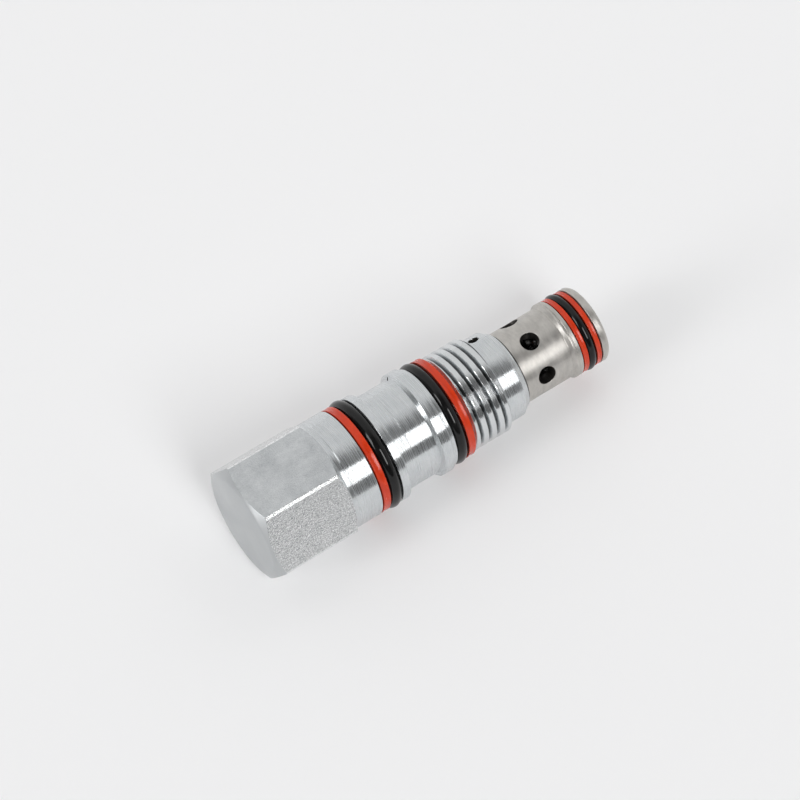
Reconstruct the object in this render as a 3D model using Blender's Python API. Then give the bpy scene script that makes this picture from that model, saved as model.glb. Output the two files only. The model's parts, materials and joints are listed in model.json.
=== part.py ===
"""Three-port cartridge valve: a pilot-to-open check valve with a hex head.

The axis of the cartridge is +X, from the hex end face at the origin to the nose.
It lies on one hex flat, so +Z is up. Lengths below are in millimetres and are
turned into metres where a mesh is made. A profile point is (x along the axis, radius).
"""
import bpy
import bmesh
from math import cos, pi, radians, sin, tan
from mathutils import Matrix, Vector

MM = 0.001
SEGMENTS = 36            # sides of every turned piece, so that nested pieces keep their gaps
FIT = 0.06               # gap between pieces that sit on or in each other

# Hex head
HEX_AF = 22.22           # 7/8 in across flats
HEX_FACE_R = 10.5        # flat disc of the end face
HEX_CHAMFER = radians(28)
HEX_BACK_X = 17.9        # where the head runs out into the first land
HEX_BACK_CHAMFER = radians(31)

# Body outside, from the head to the thread
LAND_R = 10.98           # runs in a 22.2 mm bore
HEAD_GLAND = (23.65, 28.25)
HEAD_GLAND_ROOT_R = 8.8
HEAD_LAND_END_X = 30.0
NECK_START_R = 9.95
NECK_R = 9.84            # annulus of the pilot port
NECK = (32.6, 37.4)
SHOULDER_R = 10.8        # seats on the step of the cavity
SHOULDER = (38.2, 39.95)
SHOULDER_SEAT_R = 10.63  # the flat seat reaches in to here, and a fillet follows
MIDDLE_LAND_R = 10.25    # runs in a 20.64 mm bore
MIDDLE_GLAND = (41.0, 45.15)
MIDDLE_GLAND_ROOT_R = 8.15
THREAD_CREST_R = 9.95    # about M20, as plain ridges and grooves
THREAD_ROOT_R = 9.15
THREAD_PITCH = 1.83
THREAD = (45.6, 53.45)   # between its end chamfers
THREAD_GROOVES = 4
THREAD_GROOVE_X = 46.42  # middle of the first groove
THREAD_GROOVE_HALF = (0.12, 0.42)  # at the root and at the crest
COLLAR_R = 8.9
COLLAR = (53.9, 57.5)
BODY_END_X = 59.0
BODY_END_R = 7.95

# Body inside
BORE_END_X = 33.0
PISTON_BORE_R = 6.0
PISTON_BORE_END_X = 47.2
CHAMBER_R = 6.4
COUNTERBORE_R = 7.8
COUNTERBORE_X = 56.45
RING_GROOVE = (57.05, 57.6)
RING_GROOVE_R = 8.1
MOUTH_R = 7.6
PILOT_HOLE_X = 34.5
PILOT_HOLE_R = 1.2
PILOT_HOLE_ANGLE = 290   # degrees from +Y towards +Z
VENT_HOLE_X = 55.3
VENT_HOLE_R = 0.9
VENT_HOLE_ANGLE = 53

# Sleeve (nose section)
SLEEVE_START_X = 56.51
SLEEVE_HEAD_R = 7.7
SLEEVE_HEAD_END_X = 57.0
SLEEVE_R = 7.37
SLEEVE_CONE_X = (69.6, 70.4)
NOSE_R = 7.87            # runs in a 15.88 mm bore
NOSE_GLAND = (71.55, 76.02)
NOSE_GLAND_ROOT_R = 6.3
NOSE_CHAMFER_X = 77.15
NOSE_END_X = 77.65
NOSE_END_R = 7.4
SLEEVE_BORE_R = 4.9
SEAT_POCKET = (66.2, 76.05)
SEAT_POCKET_R = 5.2
SNAP_GROOVE_END_X = 76.65
SNAP_GROOVE_R = 5.8
NOSE_MOUTH_R = 5.9
FLOW_HOLE_X = 63.75
FLOW_HOLE_R = 1.8
FLOW_HOLE_ANGLE = 96.5
FLOW_HOLE_PAIRS = 3

# Seals. An O-ring is (x, radius of its centre line, radius of its section). A backup ring is
# (x of its flat side, x of the hollow's floor, how far its edges reach past the floor, outer radius).
HEAD_O_RING = (26.94, 10.08, 1.24)
HEAD_BACKUP = (23.95, 25.3, 0.2, 10.96)
MIDDLE_O_RING = (42.28, 9.4, 1.2)
MIDDLE_BACKUP = (45.05, 43.75, -0.2, 10.32)
NOSE_O_RING = (73.79, 7.2, 0.87)
NOSE_BACKUP_INNER = (71.76, 72.74, 0.12, 7.83)
NOSE_BACKUP_OUTER = (75.74, 74.84, -0.12, 7.83)

# Pilot piston, stem and guide
PISTON_R = 5.92
PISTON = (36.6, 45.0)
PISTON_GROOVE = (39.0, 42.2)
PISTON_GROOVE_ROOT_R = 4.35
PISTON_O_RING_SECTION_R = 0.78
PISTON_SOCKET_X = 40.6
STEM_R = 1.5
STEM_TIP_X = 66.55
GUIDE = (56.6, 60.6)

# Poppet, spring and what holds them
SEAT_R = 3.6
SEAT_END_X = 68.2
POPPET_TIP_X = STEM_TIP_X + 0.1
POPPET_TIP_R = 2.0
POPPET_GUIDE = (69.3, 73.4)
POPPET_GUIDE_R = 5.12
POPPET_FLAT_R = 4.25
POPPET_POCKET_X = 69.9
POPPET_POCKET_R = 3.1
RETAINER = (75.2, 76.0)
RETAINER_R = 5.12
RETAINER_HOLE_R = 0.85
RETAINER_HOLE_PCR = 3.95
SPRING_R = 2.45
SPRING_WIRE_R = 0.33
SPRING_TURNS = 4.5
SPRING_STEPS = 12        # points along each turn
SPRING_SIDES = 6


def clear_scene():
    for item in list(bpy.data.objects):
        bpy.data.objects.remove(item, do_unlink=True)


def material(name, color, roughness, metallic):
    """One Principled material with a plain colour."""
    made = bpy.data.materials.new(name)
    made.use_nodes = True
    made.diffuse_color = (*color, 1.0)
    shader = made.node_tree.nodes["Principled BSDF"]
    shader.inputs["Base Color"].default_value = (*color, 1.0)
    shader.inputs["Roughness"].default_value = roughness
    shader.inputs["Metallic"].default_value = metallic
    return made


def make_object(name, mesh_data, look):
    """Turns a bmesh in millimetres into a smooth-shaded object in metres."""
    bmesh.ops.scale(mesh_data, vec=(MM, MM, MM), verts=mesh_data.verts)
    bmesh.ops.recalc_face_normals(mesh_data, faces=mesh_data.faces)
    mesh = bpy.data.meshes.new(name)
    mesh_data.to_mesh(mesh)
    mesh_data.free()
    if look:
        mesh.materials.append(look)
    mesh.shade_smooth()
    mesh.set_sharp_from_angle(angle=radians(30))
    made = bpy.data.objects.new(name, mesh)
    bpy.context.scene.collection.objects.link(made)
    return made


def turned(name, profile, look, solid=False, sweep=360.0, start=0.0):
    """Spins an (x, r) profile about the X axis. A solid profile starts and ends on the axis."""
    data = bmesh.new()
    verts = [data.verts.new((x, r, 0.0)) for x, r in profile]
    bmesh.ops.rotate(data, verts=verts, cent=(0, 0, 0), matrix=Matrix.Rotation(radians(start), 3, "X"))
    pairs = list(zip(verts, verts[1:]))
    if not solid:
        pairs.append((verts[-1], verts[0]))
    edges = [data.edges.new(pair) for pair in pairs]
    full = sweep >= 360.0
    steps = round(SEGMENTS * sweep / 360.0)
    outline = verts + edges
    if not full:
        outline = outline + [data.faces.new(verts)]
    bmesh.ops.spin(data, geom=outline, cent=(0, 0, 0), axis=(1, 0, 0),
                   angle=radians(sweep), steps=steps, use_merge=full)
    bmesh.ops.remove_doubles(data, verts=data.verts, dist=0.0001)
    bmesh.ops.dissolve_degenerate(data, edges=data.edges, dist=0.0001)
    return make_object(name, data, look)


def as_cutter(thing):
    thing.hide_render = True
    thing.display_type = "WIRE"
    return thing


def cut(target, cutter):
    """Adds an exact Boolean difference."""
    step = target.modifiers.new(f"cut_{cutter.name}", "BOOLEAN")
    step.operation = "DIFFERENCE"
    step.object = cutter
    step.solver = "EXACT"


def drill(name, x, radius, angle, reach, sides=16, through=False):
    """A cylinder square to the axis, at an angle from +Y towards +Z."""
    data = bmesh.new()
    length = reach * 2 if through else reach
    bmesh.ops.create_cone(data, cap_ends=True, segments=sides, radius1=radius, radius2=radius, depth=length)
    out = Vector((0, cos(radians(angle)), sin(radians(angle))))
    turn = Vector((0, 0, 1)).rotation_difference(out).to_matrix()
    bmesh.ops.rotate(data, verts=data.verts, cent=(0, 0, 0), matrix=turn)
    shift = Vector((x, 0, 0)) if through else Vector((x, 0, 0)) + out * (length / 2)
    bmesh.ops.translate(data, verts=data.verts, vec=shift)
    return as_cutter(make_object(name, data, None))


def axial_drill(name, span, radius, center_r, angle, sides=12):
    """A cylinder along the axis, at a place round it."""
    data = bmesh.new()
    length = span[1] - span[0]
    bmesh.ops.create_cone(data, cap_ends=True, segments=sides, radius1=radius, radius2=radius, depth=length)
    bmesh.ops.rotate(data, verts=data.verts, cent=(0, 0, 0), matrix=Matrix.Rotation(pi / 2, 3, "Y"))
    place = (sum(span) / 2, center_r * cos(radians(angle)), center_r * sin(radians(angle)))
    bmesh.ops.translate(data, verts=data.verts, vec=place)
    return as_cutter(make_object(name, data, None))


def flats_cutter(name, span, apothem, sides, start, outer_r):
    """A tube with a round outside and a polygonal inside. It leaves flats on what it cuts."""
    data = bmesh.new()
    corner_r = apothem / cos(pi / sides)
    rings = []
    for x in span:
        for radius in (corner_r, outer_r):
            angles = [radians(start) + 2 * pi * k / sides for k in range(sides)]
            rings.append([data.verts.new((x, radius * cos(a), radius * sin(a))) for a in angles])
    inner_a, outer_a, inner_b, outer_b = rings
    for k in range(sides):
        n = (k + 1) % sides
        data.faces.new((inner_a[k], inner_a[n], inner_b[n], inner_b[k]))
        data.faces.new((outer_a[k], outer_b[k], outer_b[n], outer_a[n]))
        data.faces.new((inner_a[k], outer_a[k], outer_a[n], inner_a[n]))
        data.faces.new((inner_b[k], inner_b[n], outer_b[n], outer_b[k]))
    return as_cutter(make_object(name, data, None))


def thread_profile():
    """Grooves of the thread, from the head side to the nose side."""
    root_half, crest_half = THREAD_GROOVE_HALF
    points = [(THREAD[0], THREAD_CREST_R)]
    for k in range(THREAD_GROOVES):
        x = THREAD_GROOVE_X + k * THREAD_PITCH
        points += [(x - crest_half, THREAD_CREST_R), (x - root_half, THREAD_ROOT_R)]
        points += [(x + root_half, THREAD_ROOT_R), (x + crest_half, THREAD_CREST_R)]
    return points + [(THREAD[1], THREAD_CREST_R)]


def body_outside():
    corner_r = HEX_AF / 2 / cos(pi / 6) + 0.01
    front_x = (corner_r - HEX_FACE_R) * tan(HEX_CHAMFER)
    back_x = HEX_BACK_X - (corner_r - LAND_R) * tan(HEX_BACK_CHAMFER)
    head = [(0, 0), (0, HEX_FACE_R), (front_x, corner_r), (back_x, corner_r), (HEX_BACK_X, LAND_R)]
    head_gland = [
        (HEAD_GLAND[0], LAND_R), (HEAD_GLAND[0], HEAD_GLAND_ROOT_R),
        (HEAD_GLAND[1], HEAD_GLAND_ROOT_R), (HEAD_GLAND[1], LAND_R),
    ]
    neck = [
        (HEAD_LAND_END_X, LAND_R), (HEAD_LAND_END_X, NECK_START_R), (NECK[0], NECK_R), (NECK[1], NECK_R),
    ]
    shoulder = [
        (SHOULDER[0], SHOULDER_R), (SHOULDER[1], SHOULDER_R), (SHOULDER[1], SHOULDER_SEAT_R),
        (SHOULDER[1] + 0.1, MIDDLE_LAND_R + 0.16), (SHOULDER[1] + 0.36, MIDDLE_LAND_R),
    ]
    middle_gland = [
        (MIDDLE_GLAND[0], MIDDLE_LAND_R), (MIDDLE_GLAND[0], MIDDLE_GLAND_ROOT_R),
        (MIDDLE_GLAND[1], MIDDLE_GLAND_ROOT_R), (MIDDLE_GLAND[1], THREAD_CREST_R - 0.45),
    ]
    collar = [
        (COLLAR[0], COLLAR_R), (COLLAR[1], COLLAR_R), (BODY_END_X - 0.5, BODY_END_R + 0.05),
        (BODY_END_X, BODY_END_R - 0.1),
    ]
    return head + head_gland + neck + shoulder + middle_gland + thread_profile() + collar


def body_inside():
    return [
        (BODY_END_X, MOUTH_R), (RING_GROOVE[1], MOUTH_R), (RING_GROOVE[1], RING_GROOVE_R),
        (RING_GROOVE[0], RING_GROOVE_R), (RING_GROOVE[0], COUNTERBORE_R), (COUNTERBORE_X, COUNTERBORE_R),
        (COUNTERBORE_X, CHAMBER_R), (PISTON_BORE_END_X, CHAMBER_R), (PISTON_BORE_END_X - 0.4, PISTON_BORE_R),
        (BORE_END_X, PISTON_BORE_R), (BORE_END_X - 0.9, 0),
    ]


def make_valve_body(look):
    body = turned("valve_body", body_outside() + body_inside(), look, solid=True)
    cut(body, flats_cutter("hex_cutter", (-1.0, HEX_BACK_X + 1.0), HEX_AF / 2, 6, 0, 16.0))
    cut(body, drill("pilot_hole", PILOT_HOLE_X, PILOT_HOLE_R, PILOT_HOLE_ANGLE, 14.0))
    cut(body, drill("vent_hole", VENT_HOLE_X, VENT_HOLE_R, VENT_HOLE_ANGLE, 12.0, sides=12, through=True))


def make_sleeve(look):
    outside = [
        (SLEEVE_START_X, SLEEVE_HEAD_R), (SLEEVE_HEAD_END_X, SLEEVE_HEAD_R), (SLEEVE_HEAD_END_X, SLEEVE_R),
        (SLEEVE_CONE_X[0], SLEEVE_R), (SLEEVE_CONE_X[1], NOSE_R),
        (NOSE_GLAND[0], NOSE_R), (NOSE_GLAND[0], NOSE_GLAND_ROOT_R),
        (NOSE_GLAND[1], NOSE_GLAND_ROOT_R), (NOSE_GLAND[1], NOSE_R),
        (NOSE_CHAMFER_X, NOSE_R), (NOSE_END_X, NOSE_END_R),
    ]
    inside = [
        (NOSE_END_X, NOSE_MOUTH_R), (SNAP_GROOVE_END_X + 0.4, SEAT_POCKET_R), (SNAP_GROOVE_END_X, SEAT_POCKET_R),
        (SNAP_GROOVE_END_X, SNAP_GROOVE_R), (SEAT_POCKET[1], SNAP_GROOVE_R), (SEAT_POCKET[1], SEAT_POCKET_R),
        (SEAT_POCKET[0], SEAT_POCKET_R), (SEAT_POCKET[0], SLEEVE_BORE_R), (SLEEVE_START_X, SLEEVE_BORE_R),
    ]
    sleeve = turned("sleeve", outside + inside, look)
    for k in range(FLOW_HOLE_PAIRS):
        angle = FLOW_HOLE_ANGLE + 60 * k
        cut(sleeve, drill(f"flow_hole_{k}", FLOW_HOLE_X, FLOW_HOLE_R, angle, 10.0, sides=20, through=True))


def o_ring(name, place, look, sides=8):
    x, center_r, section_r = place
    points = []
    for k in range(sides):
        a = 2 * pi * k / sides
        points.append((x + section_r * cos(a), center_r + section_r * sin(a)))
    turned(name, points, look)


def backup_ring(name, place, inner_r, look):
    """A ring with a flat side on the gland wall and a hollowed side towards its O-ring."""
    flat_x, cup_x, lip, outer_r = place
    mid_r = (inner_r + outer_r) / 2
    floor = 0.14 * (outer_r - inner_r)
    turned(name, [
        (flat_x, inner_r), (cup_x + lip * 0.7, inner_r), (cup_x, mid_r - floor),
        (cup_x, mid_r + floor), (cup_x + lip, outer_r), (flat_x, outer_r),
    ], look)


def make_seals(red, black):
    """O-rings with their backup rings in the three outer glands."""
    o_ring("head_o_ring", HEAD_O_RING, black)
    o_ring("middle_o_ring", MIDDLE_O_RING, black)
    o_ring("nose_o_ring", NOSE_O_RING, black)
    backup_ring("head_backup_ring", HEAD_BACKUP, HEAD_GLAND_ROOT_R + FIT, red)
    backup_ring("middle_backup_ring", MIDDLE_BACKUP, MIDDLE_GLAND_ROOT_R + FIT, red)
    backup_ring("nose_backup_ring_inner", NOSE_BACKUP_INNER, NOSE_GLAND_ROOT_R + FIT, red)
    backup_ring("nose_backup_ring_outer", NOSE_BACKUP_OUTER, NOSE_GLAND_ROOT_R + FIT, red)


def make_sleeve_ring(look):
    """Split wire ring that keeps the sleeve's head in the body."""
    a, b = RING_GROOVE[0] + FIT, RING_GROOVE[1] - FIT
    low, high = SLEEVE_R + 0.1, RING_GROOVE_R - FIT
    turned("sleeve_retaining_ring", [(a, low), (b, low), (b, high), (a, high)], look, sweep=340.0, start=100.0)


def make_piston(steel, black, white):
    left, right = PISTON
    turned("pilot_piston", [
        (left, 0), (left, PISTON_R - 0.5), (left + 0.4, PISTON_R), (PISTON_GROOVE[0], PISTON_R),
        (PISTON_GROOVE[0], PISTON_GROOVE_ROOT_R), (PISTON_GROOVE[1], PISTON_GROOVE_ROOT_R),
        (PISTON_GROOVE[1], PISTON_R), (right - 0.4, PISTON_R), (right, PISTON_R - 0.4),
        (right, STEM_R + 0.05), (PISTON_SOCKET_X, STEM_R + 0.05), (PISTON_SOCKET_X, 0),
    ], steel, solid=True)
    section_r = PISTON_O_RING_SECTION_R
    o_ring_x = PISTON_GROOVE[0] + FIT + section_r
    o_ring("piston_o_ring", (o_ring_x, PISTON_GROOVE_ROOT_R + section_r + 0.03, section_r), black)
    ring_left = o_ring_x + section_r + FIT + 0.05
    ring_right = PISTON_GROOVE[1] - FIT
    low, high = PISTON_GROOVE_ROOT_R + 0.05, PISTON_R - 0.01
    turned("piston_backup_ring", [(ring_left, low), (ring_right, low), (ring_right, high), (ring_left, high)], white)
    start = PISTON_SOCKET_X + 0.05
    turned("pilot_stem", [
        (start, 0), (start, STEM_R), (STEM_TIP_X - 0.3, STEM_R), (STEM_TIP_X, STEM_R - 0.3), (STEM_TIP_X, 0),
    ], steel, solid=True)


def make_stem_guide(look):
    a, b = GUIDE
    outer, bore = SLEEVE_BORE_R - 0.04, STEM_R + 0.05
    turned("stem_guide", [(a, bore), (b, bore), (b, outer - 0.3), (b - 0.3, outer), (a, outer)], look)


def make_check_seat(look):
    a, b = SEAT_POCKET[0] + 0.04, SEAT_END_X
    outer = SEAT_POCKET_R - 0.04
    turned("check_seat", [(a, SEAT_R + 0.4), (a + 0.7, SEAT_R), (b, SEAT_R), (b, outer), (a, outer)], look)


def make_poppet(look):
    """Fluted poppet: its cone closes on the seat, and three flats let the flow pass."""
    base_r = POPPET_TIP_R + POPPET_GUIDE[0] - POPPET_TIP_X
    poppet = turned("check_poppet", [
        (POPPET_TIP_X, 0), (POPPET_TIP_X, POPPET_TIP_R), (POPPET_GUIDE[0], base_r),
        (POPPET_GUIDE[0] + 0.2, POPPET_GUIDE_R), (POPPET_GUIDE[1] - 0.2, POPPET_GUIDE_R),
        (POPPET_GUIDE[1], POPPET_GUIDE_R - 0.2), (POPPET_GUIDE[1], POPPET_POCKET_R),
        (POPPET_POCKET_X, POPPET_POCKET_R), (POPPET_POCKET_X, 0),
    ], look, solid=True)
    span = (POPPET_GUIDE[0] - 0.6, POPPET_GUIDE[1] + 1.0)
    cut(poppet, flats_cutter("poppet_flats", span, POPPET_FLAT_R, 3, 36.5, 12.0))


def make_retainer(look):
    a, b = RETAINER
    disc = turned("spring_retainer", [(a, 1.2), (b, 1.2), (b, RETAINER_R), (a, RETAINER_R)], look)
    for k in range(6):
        cut(disc, axial_drill(f"retainer_hole_{k}", (a - 1.0, b + 1.0), RETAINER_HOLE_R, RETAINER_HOLE_PCR, 60 * k))


def make_snap_ring(look):
    a, b = RETAINER[1] + 0.11, SNAP_GROOVE_END_X - FIT
    low, high = SEAT_POCKET_R - 0.75, SNAP_GROOVE_R - 0.05
    turned("nose_snap_ring", [(a, low), (b, low), (b, high), (a, high)], look, sweep=320.0, start=20.0)


def make_check_spring(look):
    """Compression spring with flattened pitch at both ends, as a tube along a helix."""
    start, end = POPPET_POCKET_X + FIT + SPRING_WIRE_R, RETAINER[0] - FIT - SPRING_WIRE_R
    count = round(SPRING_TURNS * SPRING_STEPS)
    points = []
    for k in range(count + 1):
        turn = SPRING_TURNS * k / count
        along = min(max((turn - 0.5) / (SPRING_TURNS - 1.0), 0.0), 1.0)
        lift = 0.12 * min(turn, 0.5) / 0.5 - 0.12 * min(SPRING_TURNS - turn, 0.5) / 0.5
        x = start + 0.12 + (end - start - 0.24) * along + lift
        angle = 2 * pi * turn
        points.append(Vector((x, SPRING_R * cos(angle), SPRING_R * sin(angle))))
    data = bmesh.new()
    rings = []
    for k, point in enumerate(points):
        ahead = points[min(k + 1, count)] - points[max(k - 1, 0)]
        out = Vector((0, point.y, point.z)).normalized()
        side = ahead.cross(out).normalized()
        ring = []
        for s in range(SPRING_SIDES):
            a = 2 * pi * s / SPRING_SIDES
            ring.append(data.verts.new(point + (out * cos(a) + side * sin(a)) * SPRING_WIRE_R))
        rings.append(ring)
    for low, high in zip(rings, rings[1:]):
        for s in range(SPRING_SIDES):
            n = (s + 1) % SPRING_SIDES
            data.faces.new((low[s], low[n], high[n], high[s]))
    data.faces.new(rings[0])
    data.faces.new(rings[-1])
    make_object("check_spring", data, look)


def main():
    clear_scene()
    zinc = material("zinc", (0.62, 0.64, 0.66), 0.25, 1.0)
    steel = material("steel", (0.56, 0.54, 0.52), 0.35, 1.0)
    spring_steel = material("spring_steel", (0.35, 0.34, 0.33), 0.35, 1.0)
    bronze = material("bronze", (0.55, 0.40, 0.22), 0.4, 1.0)
    red = material("red_backup", (0.55, 0.06, 0.02), 0.35, 0.0)
    black = material("black_rubber", (0.02, 0.02, 0.02), 0.35, 0.0)
    white = material("white_backup", (0.75, 0.74, 0.70), 0.5, 0.0)
    make_valve_body(zinc)
    make_sleeve(steel)
    make_seals(red, black)
    make_sleeve_ring(spring_steel)
    make_piston(steel, black, white)
    make_stem_guide(bronze)
    make_check_seat(steel)
    make_poppet(steel)
    make_check_spring(spring_steel)
    make_retainer(steel)
    make_snap_ring(spring_steel)


main()
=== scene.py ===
import json
from math import atan2, cos, degrees, pi, radians, sin, tan

import bmesh
import bpy
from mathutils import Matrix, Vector

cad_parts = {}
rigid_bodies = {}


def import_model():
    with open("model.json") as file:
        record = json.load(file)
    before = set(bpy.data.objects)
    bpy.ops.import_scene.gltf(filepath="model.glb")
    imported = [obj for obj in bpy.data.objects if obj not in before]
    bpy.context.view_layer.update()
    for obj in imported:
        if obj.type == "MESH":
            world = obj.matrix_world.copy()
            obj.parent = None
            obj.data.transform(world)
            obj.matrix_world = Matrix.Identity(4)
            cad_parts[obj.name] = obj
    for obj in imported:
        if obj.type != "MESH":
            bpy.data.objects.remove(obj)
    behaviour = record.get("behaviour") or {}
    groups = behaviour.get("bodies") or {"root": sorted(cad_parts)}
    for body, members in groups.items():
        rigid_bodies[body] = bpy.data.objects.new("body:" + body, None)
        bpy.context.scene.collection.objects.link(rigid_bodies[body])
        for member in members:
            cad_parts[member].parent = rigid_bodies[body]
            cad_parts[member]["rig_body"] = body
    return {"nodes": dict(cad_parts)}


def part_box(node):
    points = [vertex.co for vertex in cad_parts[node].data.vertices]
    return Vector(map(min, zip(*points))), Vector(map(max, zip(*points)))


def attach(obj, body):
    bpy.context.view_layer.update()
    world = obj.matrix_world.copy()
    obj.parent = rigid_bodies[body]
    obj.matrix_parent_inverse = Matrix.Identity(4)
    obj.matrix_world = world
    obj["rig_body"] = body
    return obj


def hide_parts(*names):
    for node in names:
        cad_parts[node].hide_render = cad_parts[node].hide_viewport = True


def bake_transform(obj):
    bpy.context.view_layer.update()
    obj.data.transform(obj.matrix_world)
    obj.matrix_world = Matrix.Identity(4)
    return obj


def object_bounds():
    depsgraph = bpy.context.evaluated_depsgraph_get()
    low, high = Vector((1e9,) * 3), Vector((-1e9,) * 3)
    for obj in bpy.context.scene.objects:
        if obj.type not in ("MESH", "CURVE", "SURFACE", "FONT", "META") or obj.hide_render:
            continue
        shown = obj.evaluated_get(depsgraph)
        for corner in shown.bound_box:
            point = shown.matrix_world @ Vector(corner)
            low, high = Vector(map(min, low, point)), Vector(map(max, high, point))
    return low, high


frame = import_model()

# Looks of the cartridge valve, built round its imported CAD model.
# Lengths are in millimetres and MM turns them into metres. The cartridge's axis is +X, a
# profile point is (x, radius), and an angle round the axis runs from +Y towards +Z.

MM = 0.001
CAD_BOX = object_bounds()

SEGMENTS = 144           # sides of a turned piece
CURVE_STEPS = 4          # pieces of each small edge round
HOLD = 0.04              # how far from a corner its shading reaches

# Valve body
HEX_AF = 22.22
HEX_CORNER_FLAT = 0.6              # width of the flat worn on each corner
HEX_FACE_R = 10.5
HEX_CHAMFER = radians(28)
HEX_BACK_X = 17.9
HEX_BACK_CHAMFER = radians(31)
LAND_R = 10.98
LAND_LINE = (18.75, 19.1, 0.07)    # start, end, depth
HEAD_GLAND = (23.65, 28.25)
HEAD_GLAND_ROOT_R = 8.8
HEAD_LAND_END_X = 30.0
NECK_R = 9.84
NECK_START_R = 9.95
NECK_LINE_X = 32.6
NECK_END_X = 37.4
SHOULDER_R = 10.8
SHOULDER = (37.95, 39.95)
PIT = (37.5, 0.26, 39)             # a small pit in the shoulder's cone: x, radius, angle
SHOULDER_SEAT_R = 10.63
MIDDLE_LAND_R = 10.25
MIDDLE_GLAND = (41.0, 45.15)
MIDDLE_GLAND_ROOT_R = 8.15
THREAD_CREST_R = 9.95
THREAD_ROOT_R = 9.05
THREAD_PITCH = 1.83
THREAD = (45.45, 53.75)
THREAD_ROOT_AT = (48.4, 127)       # x and angle of one point on the thread's root
THREAD_GROOVE = 0.36               # half the width of the groove
THREAD_RINGS_PER_PITCH = 24
COLLAR_R = 8.9
COLLAR = (53.9, 57.5)
COLLAR_STEP = 0.2
BODY_END_X = 59.0
BODY_END_R = 7.95
MOUTH_R = 7.6
RING_GROOVE = (57.05, 57.6)
RING_GROOVE_R = 8.1
COUNTERBORE = (56.45, 7.8)
CHAMBER_R = 6.4
PISTON_BORE = (33.0, 47.2)
PISTON_BORE_R = 6.0
PILOT_HOLE = (34.5, 1.2, 290)      # x, radius, angle
VENT_HOLE = (55.3, 1.05, 52)

# Sleeve
SLEEVE_HEAD = (57.0, 7.7)
SLEEVE_R = 7.37
SLEEVE_FILLET = (69.75, 70.3)
SLEEVE_DARK_LINE = (59.08, 59.34, 0.08)    # start, end, depth
NOSE_R = 7.87
NOSE_LINE_X = 70.72
NOSE_GLAND = (71.55, 76.02)
NOSE_GLAND_ROOT_R = 6.3
NOSE_CHAMFER_X = 77.15
NOSE_END_R = 7.4
NOSE_MOUTH_R = 5.9
SLEEVE_BORE_R = 4.9
SEAT_POCKET = (66.2, 76.05)
SEAT_POCKET_R = 5.2
SNAP_GROOVE_END_X = 76.65
SNAP_GROOVE_R = 5.8
FLOW_HOLE = (63.75, 1.83, 96.5)
HOLE_RIM = 0.1

# Inner pieces
STEM_R = 1.5
SEAT_R = 3.6
POPPET_POCKET_R = 3.1
POPPET_FLAT_R = 4.25
POPPET_TIP_R = 2.0
POPPET_CONE = 2.65                 # length of the cone, and how much it widens
POPPET_POCKET_DEPTH = 3.5
RETAINER_CENTRE_R = 1.2
SNAP_RING_DEPTH = 0.75
PISTON_GROOVE = (39.0, 42.2)
PISTON_GROOVE_ROOT_R = 4.35
RING_HOLLOW = 0.1                  # how far the middle of a backup ring's rim sinks
RETAINER_HOLE = (0.85, 3.95)       # radius, distance from the axis
SPRING_R = 2.45
SPRING_WIRE_R = 0.33
SPRING_TURNS = 4.5

# Camera
CAMERA_AIM = (39.04, 5.92, 0.0)
CAMERA_DISTANCE = 747.7
CAMERA_AZIMUTH = radians(34.54)
CAMERA_ELEVATION = radians(59.25)
CAMERA_LENS = 180.0
CAMERA_SENSOR = 36.0


# ---------------------------------------------------------------- mesh tools

def held(points, closed):
    """Adds a point close to each end of a straight run, so smooth shading stays at the corners."""
    result = []
    for k, point in enumerate(points):
        result.append(point)
        if not closed and k == len(points) - 1:
            break
        here, there = Vector(point), Vector(points[(k + 1) % len(points)])
        length = (there - here).length
        if length > 4 * HOLD:
            result += [tuple(here.lerp(there, HOLD / length)), tuple(there.lerp(here, HOLD / length))]
    return result


def rounded(points, closed=True):
    """Rounds the corners of a profile. A point is (x, r) or (x, r, round)."""
    count = len(points)
    result = []
    for k, point in enumerate(points):
        here = Vector(point[:2])
        size = point[2] if len(point) > 2 else 0.0
        at_end = not closed and k in (0, count - 1)
        if size <= 0 or at_end:
            result.append(tuple(here))
            continue
        before = Vector(points[k - 1][:2]) - here
        after = Vector(points[(k + 1) % count][:2]) - here
        reach = min(size, before.length * 0.45, after.length * 0.45)
        start, end = here + before.normalized() * reach, here + after.normalized() * reach
        for step in range(CURVE_STEPS + 1):
            t = step / CURVE_STEPS
            result.append(tuple(start * (1 - t) ** 2 + here * (2 * t * (1 - t)) + end * t ** 2))
    return held(result, closed)


def finish_mesh(name, data, sharp=28.0):
    """Makes a smooth-shaded object in metres from a bmesh in millimetres."""
    bmesh.ops.recalc_face_normals(data, faces=data.faces)
    bmesh.ops.scale(data, vec=(MM, MM, MM), verts=data.verts)
    mesh = bpy.data.meshes.new(name)
    data.to_mesh(mesh)
    data.free()
    made = bpy.data.objects.new(name, mesh)
    bpy.context.scene.collection.objects.link(made)
    smooth(made, sharp)
    return made


def smooth(thing, sharp):
    """Smooth shading that stays crisp at edges."""
    thing.data.shade_smooth()
    thing.data.set_sharp_from_angle(angle=radians(sharp))


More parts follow.
